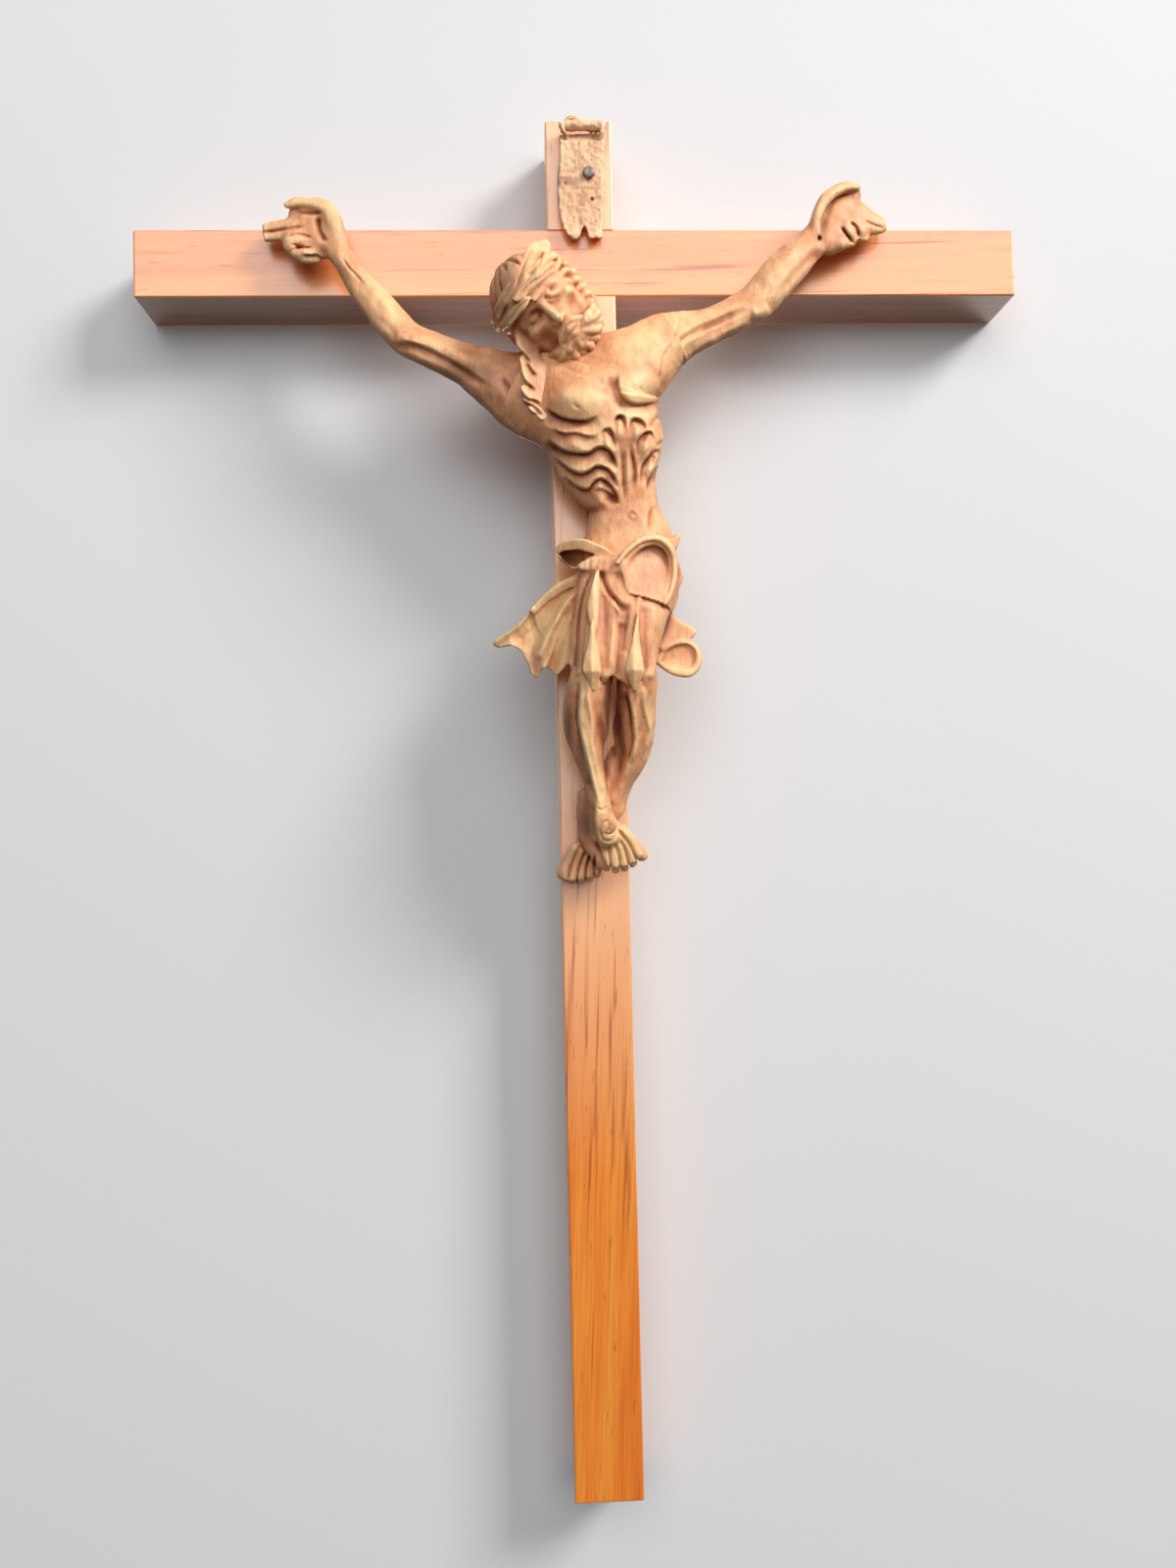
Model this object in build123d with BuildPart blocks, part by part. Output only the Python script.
"""Wall crucifix: a halved wooden cross with a carved corpus, a scroll board and a hanging eye.

Millimetres, +Z up along the post, +X to the viewer's right, front towards -Y.
The origin is the centre of the hanging eye above the post's top end.
"""
import os
from math import radians, tan

from build123d import *

# Cross: two lengths of the same square bar, halved into each other
POST_HEIGHT = 330.0
BEAM_LENGTH = 213.5
TIMBER_WIDTH = 16.3
TIMBER_DEPTH = 16.6
BEAM_DROP = 26.8
EDGE_ROUND = 0.5
LAP_FIT = 0.05

# Hanging eye, screwed into the post's top end
EYE_RISE = 4.2
EYE_OFFSET = -1.2
EYE_HOLE_R = 1.2
EYE_WIRE = 0.8
EYE_SOFTEN = 0.2
EYE_BITE = 8.0
EYE_SHANK_R = 0.65
EYE_THREAD_PITCH = 0.8
EYE_THREAD_DEPTH = 0.15
EYE_RUNNING_GAP = 0.05

# Fastener holes
HOLE_GAP = 0.05
SCREW_R = 1.4
SCREW_HEAD_R = 2.8
SCREW_HEAD_ANGLE = 82.0
SCREW_BITE = 7.0
SCREW_SPACING = 33.0
PEG_R = 1.65
PEG_PROUD = 0.9
PEG_BITE = 9.0
DOWEL_R = 1.5
DOWEL_BITE = 5.0
BRAD_R = 0.55
BRAD_BITE = 6.0
BRAD_REACH = 5.4
NAIL_R = 0.7
NAIL_HEAD_R = 1.45
NAIL_HEAD_PROUD = 1.1
NAIL_BITE = 9.0

# Scroll board on the post's upper end
SCROLL_WIDTH = 10.4
SCROLL_LENGTH = 27.6
SCROLL_THICKNESS = 2.8
SCROLL_TOP_GAP = 2.6
SCROLL_ROLL_R = 2.0
SCROLL_CORNER = 3.2
SCROLL_NOTCH_WIDTH = 2.8
SCROLL_NOTCH_DEPTH = 3.4
NAIL_X = 2.1
NAIL_BELOW_TOP = 14.5

# Places that follow from the sizes above
FRONT_Y = -TIMBER_DEPTH / 2
TOP_Z = -EYE_RISE
POST_X = -EYE_OFFSET
CROSSING_Z = TOP_Z - BEAM_DROP - TIMBER_WIDTH / 2


def at(x, forward, below):
    """A point from the crossing's centre: to the right, in front of the timber's face, and down."""
    return Vector(POST_X + x, FRONT_Y - forward, CROSSING_Z - below)


def limb(stations):
    """A carved form lofted through ellipses: (x, forward, below, half width, half depth)."""
    centres = [at(*station[:3]) for station in stations]
    last = len(centres) - 1
    with BuildPart() as form:
        for i, station in enumerate(stations):
            run = centres[min(i + 1, last)] - centres[max(i - 1, 0)]
            across = Vector(0, 1, 0).cross(run)
            with BuildSketch(Plane(centres[i], x_dir=across, z_dir=run)):
                Ellipse(station[3], station[4])
        loft()
    return form.part


def slab(outline, forward, thickness):
    """A flat carved fold: a closed outline of (x, below) points, given a thickness towards the front."""
    with BuildPart() as form:
        with BuildSketch(Plane(at(0, forward, 0), x_dir=(1, 0, 0), z_dir=(0, -1, 0))):
            with BuildLine():
                Polyline(*[(x, -below) for x, below in outline], close=True)
            make_face()
        extrude(amount=thickness)
    return form.part


def side_of(form, seam, keep):
    """The part of a form on one side of a glue seam."""
    with BuildPart() as half:
        add(form)
        split(bisect_by=seam, keep=keep)
    return half.part


# Carved forms of the figure, from the crossing's centre
TORSO = [
    (1.5, 9.5, 31.0, 8.0, 6.5),
    (4.0, 10.0, 38.0, 13.0, 9.6),
    (4.8, 9.8, 46.0, 13.2, 10.4),
    (7.0, 8.2, 54.5, 10.2, 8.8),
    (8.4, 6.8, 61.0, 8.4, 7.4),
    (9.0, 7.2, 67.0, 9.0, 7.8),
    (9.4, 8.6, 74.0, 10.6, 9.2),
]
NECK = [
    (-5.5, 12.0, 25.0, 5.2, 5.2),
    (-2.0, 11.0, 31.0, 5.2, 5.4),
    (2.0, 10.0, 38.0, 6.0, 6.0),
]
HAIR_LOCK = [
    (-15.4, 13.5, 20.0, 2.4, 2.6),
    (-14.8, 15.0, 29.0, 2.5, 2.6),
    (-13.0, 16.8, 38.0, 2.6, 2.4),
    (-10.8, 17.6, 44.4, 1.5, 1.6),
]
SKIRT = [
    (9.6, 9.4, 70.0, 11.0, 9.8),
    (8.2, 10.6, 79.0, 12.6, 10.8),
    (5.4, 12.6, 90.0, 11.4, 10.6),
    (4.2, 14.4, 98.0, 10.0, 9.6),
    (4.0, 15.4, 104.0, 8.6, 8.0),
]
HIP_FOLD = [
    (-5.2, 14.4, 74.0, 2.8, 2.6),
    (-1.0, 16.4, 74.0, 3.4, 2.8),
    (4.0, 17.2, 77.0, 3.4, 3.0),
    (11.0, 14.0, 77.0, 5.6, 5.6),
]
FLYING_END = [
    (-1.0, 79.0),
    (-8.0, 80.6),
    (-13.4, 86.0),
    (-22.4, 92.4),
    (-22.0, 94.2),
    (-17.6, 94.6),
    (-14.6, 99.6),
    (-12.8, 101.0),
    (-9.6, 99.4),
    (-6.6, 101.4),
    (-3.0, 98.0),
]
FLYING_END_FORWARD = 6.0
FLYING_END_THICKNESS = 7.0
CURLED_END = [
    (13.0, 91.0),
    (16.5, 90.0),
    (23.6, 91.4),
    (25.6, 96.4),
    (23.0, 101.0),
    (18.6, 101.2),
    (13.6, 98.6),
]
CURLED_END_FORWARD = 4.0
CURLED_END_THICKNESS = 7.0
RIGHT_LEG = [
    (-0.6, 15.0, 96.0, 5.0, 7.0),
    (-1.4, 16.0, 104.0, 4.4, 6.6),
    (-1.6, 14.0, 114.0, 5.4, 6.4),
    (-0.4, 12.0, 123.0, 4.2, 5.2),
    (1.0, 10.8, 131.6, 2.6, 4.0),
]
LEFT_LEG = [
    (9.4, 14.4, 96.0, 5.0, 6.8),
    (9.4, 14.4, 104.0, 4.4, 6.2),
    (9.6, 10.6, 114.0, 4.4, 5.8),
    (7.6, 6.8, 124.0, 3.6, 4.6),
    (4.6, 4.4, 132.0, 2.8, 3.6),
]
RIGHT_FOOT = [
    (0.8, 10.8, 129.0, 2.6, 3.8),
    (2.4, 10.4, 135.6, 3.4, 3.8),
    (5.0, 9.0, 141.0, 4.6, 2.8),
    (6.6, 7.8, 145.0, 4.8, 1.6),
]
LEFT_FOOT = [
    (4.6, 4.2, 130.0, 2.8, 3.4),
    (1.4, 3.6, 137.0, 3.4, 3.8),
    (-3.0, 3.2, 144.0, 4.4, 3.4),
    (-5.4, 3.0, 149.0, 3.8, 2.4),
]
RIGHT_REACH = [
    (1.0, 9.5, 42.0, 9.0, 8.5),
    (-8.0, 9.2, 39.0, 9.2, 7.6),
    (-17.0, 8.8, 33.0, 7.2, 6.2),
    (-29.0, 8.4, 26.4, 5.2, 5.0),
    (-40.0, 8.0, 21.6, 4.2, 4.4),
    (-48.6, 7.6, 11.6, 4.4, 4.0),
    (-56.2, 6.4, 2.2, 3.0, 2.8),
    (-59.6, 5.8, -2.6, 4.9, 2.5),
    (-63.4, 5.2, -4.6, 4.8, 2.4),
    (-68.6, 4.6, -5.0, 3.4, 2.2),
    (-76.0, 4.2, -5.2, 2.0, 1.5),
]
LEFT_REACH = [
    (8.0, 9.5, 37.0, 9.0, 8.5),
    (15.0, 9.2, 29.0, 8.6, 7.2),
    (21.0, 9.0, 23.6, 6.8, 6.0),
    (29.0, 8.8, 19.8, 4.8, 4.8),
    (39.6, 8.6, 15.2, 4.2, 4.4),
    (47.0, 8.0, 7.8, 4.4, 4.0),
    (55.4, 6.6, -0.6, 3.0, 2.8),
    (59.2, 5.8, -5.4, 4.9, 2.5),
    (63.0, 5.2, -7.8, 4.8, 2.4),
    (67.6, 4.6, -8.0, 3.2, 2.2),
    (74.0, 4.2, -8.2, 1.8, 1.5),
]
RIGHT_THUMB = [
    (-58.4, 6.2, -4.6, 2.8, 2.2),
    (-61.0, 6.2, -9.4, 2.0, 1.8),
    (-68.4, 6.0, -11.6, 1.2, 1.2),
]
LEFT_THUMB = [
    (57.6, 6.2, -8.0, 2.6, 2.2),
    (60.0, 6.2, -13.6, 1.9, 1.8),
    (65.8, 6.0, -15.6, 1.3, 1.2),
]
HEAD_CENTRE = at(-9.8, 14.6, 16.4)
HEAD_LEAN = Vector(-0.52, 0.0, 0.85)
HEAD_HALF_LENGTH = 14.4
HEAD_HALF_WIDTH = 10.6
CROWN_UP = 4.6
CROWN_R = 9.6
CROWN_TUBE_R = 2.4

# Seams, screws, pegs and brads, from the crossing's centre
RIGHT_SEAM_AT = at(-16.0, 8.8, 33.6)
RIGHT_SEAM_RUN = Vector(-0.87, 0.0, 0.49)
LEFT_SEAM_AT = at(20.6, 9.0, 23.9)
LEFT_SEAM_RUN = Vector(0.90, 0.0, 0.43)
SCREW_X = 4.5
UPPER_SCREW_BELOW = 45.0
PEG_X = 2.5
PEG_BELOW = 136.4
PEG_SEAT_FORWARD = 13.4
RIGHT_BRAD_X = -60.5
RIGHT_BRAD_BELOW = -2.8
LEFT_BRAD_X = 56.6
LEFT_BRAD_BELOW = -1.8

# Fastener places and directions
FRONT_OUT = Vector(0, -1, 0)
BACK_OUT = Vector(0, 1, 0)
LAP_DEPTH = TIMBER_DEPTH / 2
SCREW_BELOWS = [UPPER_SCREW_BELOW, UPPER_SCREW_BELOW + SCREW_SPACING]
SCREW_PLACES = [at(SCREW_X, -TIMBER_DEPTH, below) for below in SCREW_BELOWS]
NAIL_AT = Vector(POST_X + NAIL_X, FRONT_Y, TOP_Z - NAIL_BELOW_TOP)
PEG_AT = at(PEG_X, 0, PEG_BELOW)
PEG_HEAD_AT = at(PEG_X, PEG_SEAT_FORWARD + PEG_PROUD, PEG_BELOW)
RIGHT_BRAD_AT = at(RIGHT_BRAD_X, 0, RIGHT_BRAD_BELOW)
LEFT_BRAD_AT = at(LEFT_BRAD_X, 0, LEFT_BRAD_BELOW)
RIGHT_SEAM = Plane(RIGHT_SEAM_AT, z_dir=RIGHT_SEAM_RUN)
LEFT_SEAM = Plane(LEFT_SEAM_AT, z_dir=LEFT_SEAM_RUN)

# Upright post: softened bar with the front half notched for the beam
with BuildPart() as upright_post:
    with Locations((POST_X, 0, TOP_Z)):
        Box(TIMBER_WIDTH, TIMBER_DEPTH, POST_HEIGHT, align=(Align.CENTER, Align.CENTER, Align.MAX))
    fillet(upright_post.edges(), EDGE_ROUND)
    with Locations((POST_X, FRONT_Y, CROSSING_Z)):
        Box(
            TIMBER_WIDTH,
            LAP_DEPTH,
            TIMBER_WIDTH + 2 * LAP_FIT,
            align=(Align.CENTER, Align.MIN, Align.CENTER),
            mode=Mode.SUBTRACT,
        )
    with Locations((0, 0, TOP_Z)):
        Hole(EYE_SHANK_R + EYE_RUNNING_GAP, EYE_BITE + EYE_RUNNING_GAP)
    with Locations(*[Plane(place, z_dir=BACK_OUT) for place in SCREW_PLACES]):
        CounterSinkHole(SCREW_R + HOLE_GAP, SCREW_HEAD_R + HOLE_GAP, TIMBER_DEPTH, SCREW_HEAD_ANGLE)
    with Locations(Plane(PEG_AT, z_dir=FRONT_OUT)):
        Hole(PEG_R + HOLE_GAP, PEG_BITE + HOLE_GAP)
    with Locations(Plane(NAIL_AT, z_dir=FRONT_OUT)):
        Hole(NAIL_R + HOLE_GAP, NAIL_BITE + HOLE_GAP)

# Crossbeam: the same bar, running unbroken across the front, notched in its back half
with BuildPart() as crossbeam:
    with Locations((POST_X, 0, CROSSING_Z)):
        Box(BEAM_LENGTH, TIMBER_DEPTH, TIMBER_WIDTH)
    fillet(crossbeam.edges(), EDGE_ROUND)
    with Locations((POST_X, 0, CROSSING_Z)):
        Box(
            TIMBER_WIDTH + 2 * LAP_FIT,
            LAP_DEPTH,
            TIMBER_WIDTH,
            align=(Align.CENTER, Align.MIN, Align.CENTER),
            mode=Mode.SUBTRACT,
        )
    with Locations(*[Plane(place, z_dir=FRONT_OUT) for place in (RIGHT_BRAD_AT, LEFT_BRAD_AT)]):
        Hole(BRAD_R + HOLE_GAP, BRAD_BITE + HOLE_GAP)

# Figure: trunk, head, loincloth and legs as one carved block, with a flat back where it seats on the post
RIGHT_REACH_FORM = limb(RIGHT_REACH)
LEFT_REACH_FORM = limb(LEFT_REACH)
BODY_FORMS = [
    limb(TORSO),
    limb(NECK),
    limb(SKIRT),
    limb(RIGHT_LEG),
    limb(LEFT_LEG),
    limb(RIGHT_FOOT),
    limb(LEFT_FOOT),
    side_of(RIGHT_REACH_FORM, RIGHT_SEAM, Keep.BOTTOM),
    side_of(LEFT_REACH_FORM, LEFT_SEAM, Keep.BOTTOM),
    limb(HIP_FOLD),
    slab(FLYING_END, FLYING_END_FORWARD, FLYING_END_THICKNESS),
    slab(CURLED_END, CURLED_END_FORWARD, CURLED_END_THICKNESS),
    limb(HAIR_LOCK),
]
with BuildPart() as corpus_body:
    for form in BODY_FORMS:
        add(form)
    with BuildSketch(Plane(HEAD_CENTRE, x_dir=HEAD_LEAN, z_dir=FRONT_OUT)):
        Ellipse(HEAD_HALF_LENGTH, HEAD_HALF_WIDTH)
        with Locations((CROWN_UP, CROWN_R)):
            Circle(CROWN_TUBE_R)
        Rectangle(
            2 * HEAD_HALF_LENGTH,
            2 * HEAD_HALF_WIDTH,
            align=(Align.CENTER, Align.MAX),
            mode=Mode.SUBTRACT,
        )
    revolve(axis=Axis(HEAD_CENTRE, HEAD_LEAN))
    split(bisect_by=Plane(at(0, 0, 0), z_dir=FRONT_OUT), keep=Keep.TOP)
    with Locations(*[Plane(at(SCREW_X, 0, below), z_dir=BACK_OUT) for below in SCREW_BELOWS]):
        Hole(SCREW_R + HOLE_GAP, SCREW_BITE + HOLE_GAP)
    with Locations(RIGHT_SEAM, LEFT_SEAM):
        Hole(DOWEL_R + HOLE_GAP, DOWEL_BITE + HOLE_GAP)
    with Locations(Plane(PEG_HEAD_AT, z_dir=FRONT_OUT)):
        Hole(PEG_R + HOLE_GAP, PEG_SEAT_FORWARD + PEG_PROUD)

# Arms: separate carvings glued to the shoulders, each with its hand
RIGHT_ARM_FORMS = [side_of(RIGHT_REACH_FORM, RIGHT_SEAM, Keep.TOP), limb(RIGHT_THUMB)]
LEFT_ARM_FORMS = [side_of(LEFT_REACH_FORM, LEFT_SEAM, Keep.TOP), limb(LEFT_THUMB)]
with BuildPart() as right_arm:
    for form in RIGHT_ARM_FORMS:
        add(form)
    add(corpus_body.part, mode=Mode.SUBTRACT)
    with Locations(Plane(RIGHT_SEAM_AT, z_dir=-RIGHT_SEAM_RUN)):
        Hole(DOWEL_R + HOLE_GAP, DOWEL_BITE + HOLE_GAP)
    with Locations(Plane(RIGHT_BRAD_AT, z_dir=BACK_OUT)):
        Hole(BRAD_R + HOLE_GAP, BRAD_REACH + HOLE_GAP)

# The left wrist is drilled right through, so its brad hole shows in front
with BuildPart() as left_arm:
    for form in LEFT_ARM_FORMS:
        add(form)
    add(corpus_body.part, mode=Mode.SUBTRACT)
    with Locations(Plane(LEFT_SEAM_AT, z_dir=-LEFT_SEAM_RUN)):
        Hole(DOWEL_R + HOLE_GAP, DOWEL_BITE + HOLE_GAP)
    with Locations(Plane(LEFT_BRAD_AT, z_dir=BACK_OUT)):
        Hole(BRAD_R + HOLE_GAP, 2 * BRAD_REACH)

# Dowels across the shoulder seams
with BuildPart() as shoulder_dowels:
    for seam in (RIGHT_SEAM, LEFT_SEAM):
        with BuildSketch(seam.offset(-DOWEL_BITE)):
            Circle(DOWEL_R)
        extrude(amount=2 * DOWEL_BITE)

# Headless brads that hold the hands a little in front of the beam
with BuildPart() as hand_pins:
    for place in (RIGHT_BRAD_AT, LEFT_BRAD_AT):
        with BuildSketch(Plane(place + BACK_OUT * BRAD_BITE, z_dir=FRONT_OUT)):
            Circle(BRAD_R)
        extrude(amount=BRAD_BITE + BRAD_REACH)

# Wood screws through the post into the trunk, heads flush with the back
SCREW_LENGTH = TIMBER_DEPTH + SCREW_BITE
SCREW_CONE = (SCREW_HEAD_R - SCREW_R) / tan(radians(SCREW_HEAD_ANGLE / 2))
with BuildPart() as corpus_screws:
    for place in SCREW_PLACES:
        with BuildSketch(Plane(place, x_dir=(1, 0, 0), z_dir=(0, 0, 1))):
            with BuildLine():
                Polyline(
                    (0, 0),
                    (SCREW_HEAD_R, 0),
                    (SCREW_R, -SCREW_CONE),
                    (SCREW_R, 2 * SCREW_R - SCREW_LENGTH),
                    (0, -SCREW_LENGTH),
                    close=True,
                )
            make_face()
        revolve(axis=Axis(place, BACK_OUT))

# Peg through both feet into the post, its softened head standing proud
with BuildPart() as foot_peg:
    with BuildSketch(Plane(PEG_AT + BACK_OUT * PEG_BITE, z_dir=FRONT_OUT)):
        Circle(PEG_R)
    extrude(amount=PEG_BITE + PEG_SEAT_FORWARD + PEG_PROUD)
    fillet(foot_peg.faces().sort_by(Axis.Y)[0].edges(), PEG_PROUD / 2)

# Scroll board: a thin board with a rolled head, one rounded lower corner and a V cut in its foot
SCROLL_TOP_Z = TOP_Z - SCROLL_TOP_GAP
SCROLL_FOOT_Z = SCROLL_TOP_Z - SCROLL_LENGTH
SCROLL_PLANE = Plane((POST_X, FRONT_Y, SCROLL_FOOT_Z), x_dir=(1, 0, 0), z_dir=FRONT_OUT)
ROLL_PLANE = Plane((POST_X, FRONT_Y, SCROLL_TOP_Z), x_dir=FRONT_OUT, z_dir=(1, 0, 0))
with BuildPart() as titulus_scroll:
    with BuildSketch(SCROLL_PLANE) as board:
        Rectangle(SCROLL_WIDTH, SCROLL_LENGTH, align=(Align.CENTER, Align.MIN))
        fillet(board.vertices().group_by(Axis.Y)[0].sort_by(Axis.X)[0], SCROLL_CORNER)
        with BuildLine():
            Polyline(
                (-SCROLL_NOTCH_WIDTH / 2, 0),
                (0, SCROLL_NOTCH_DEPTH),
                (SCROLL_NOTCH_WIDTH / 2, 0),
                close=True,
            )
        make_face(mode=Mode.SUBTRACT)
    extrude(amount=SCROLL_THICKNESS)
    with BuildSketch(ROLL_PLANE):
        with Locations((SCROLL_ROLL_R, SCROLL_ROLL_R)):
            Circle(SCROLL_ROLL_R)
    extrude(amount=SCROLL_WIDTH / 2, both=True)
    with Locations(Plane(NAIL_AT + FRONT_OUT * SCROLL_THICKNESS, z_dir=FRONT_OUT)):
        Hole(NAIL_R + HOLE_GAP, SCROLL_THICKNESS)

# Round-headed nail that holds the scroll board to the post
with BuildPart() as titulus_nail:
    with BuildSketch(Plane(NAIL_AT + BACK_OUT * NAIL_BITE, z_dir=FRONT_OUT)):
        Circle(NAIL_R)
    extrude(amount=NAIL_BITE + SCROLL_THICKNESS)
    with BuildSketch(Plane(NAIL_AT + FRONT_OUT * SCROLL_THICKNESS, z_dir=FRONT_OUT)):
        Circle(NAIL_HEAD_R)
    extrude(amount=NAIL_HEAD_PROUD)
    fillet(titulus_nail.faces().sort_by(Axis.Y)[0].edges(), NAIL_HEAD_PROUD / 2)

# Screw eye: a flat-sided ring on a ridged shank that turns in the post's top end
EYE_MEAN_R = EYE_HOLE_R + EYE_WIRE / 2
EYE_TURNS = int(EYE_BITE / EYE_THREAD_PITCH) - 1
EYE_ROOT_R = EYE_SHANK_R - EYE_THREAD_DEPTH
EYE_PROFILE = [(0, -EYE_MEAN_R), (EYE_SHANK_R, -EYE_MEAN_R), (EYE_SHANK_R, TOP_Z)]
for turn in range(EYE_TURNS):
    EYE_PROFILE.append((EYE_ROOT_R, TOP_Z - (turn + 0.5) * EYE_THREAD_PITCH))
    EYE_PROFILE.append((EYE_SHANK_R, TOP_Z - (turn + 1) * EYE_THREAD_PITCH))
EYE_PROFILE.append((0, TOP_Z - EYE_BITE))
with BuildPart() as hanging_eye:
    with BuildSketch(Plane.XY):
        with Locations((EYE_MEAN_R, 0)):
            RectangleRounded(EYE_WIRE, EYE_WIRE, EYE_SOFTEN)
    revolve(axis=Axis.Y)
    with BuildSketch(Plane.XZ):
        with BuildLine():
            Polyline(*EYE_PROFILE, close=True)
        make_face()
    revolve(axis=Axis.Z)

PIECES = {
    "upright_post": upright_post,
    "crossbeam": crossbeam,
    "corpus_body": corpus_body,
    "right_arm": right_arm,
    "left_arm": left_arm,
    "shoulder_dowels": shoulder_dowels,
    "hand_pins": hand_pins,
    "corpus_screws": corpus_screws,
    "foot_peg": foot_peg,
    "titulus_scroll": titulus_scroll,
    "titulus_nail": titulus_nail,
    "hanging_eye": hanging_eye,
}
os.makedirs("parts", exist_ok=True)
for name, piece in PIECES.items():
    piece.part.label = name
    export_step(piece.part, f"parts/{name}.step")
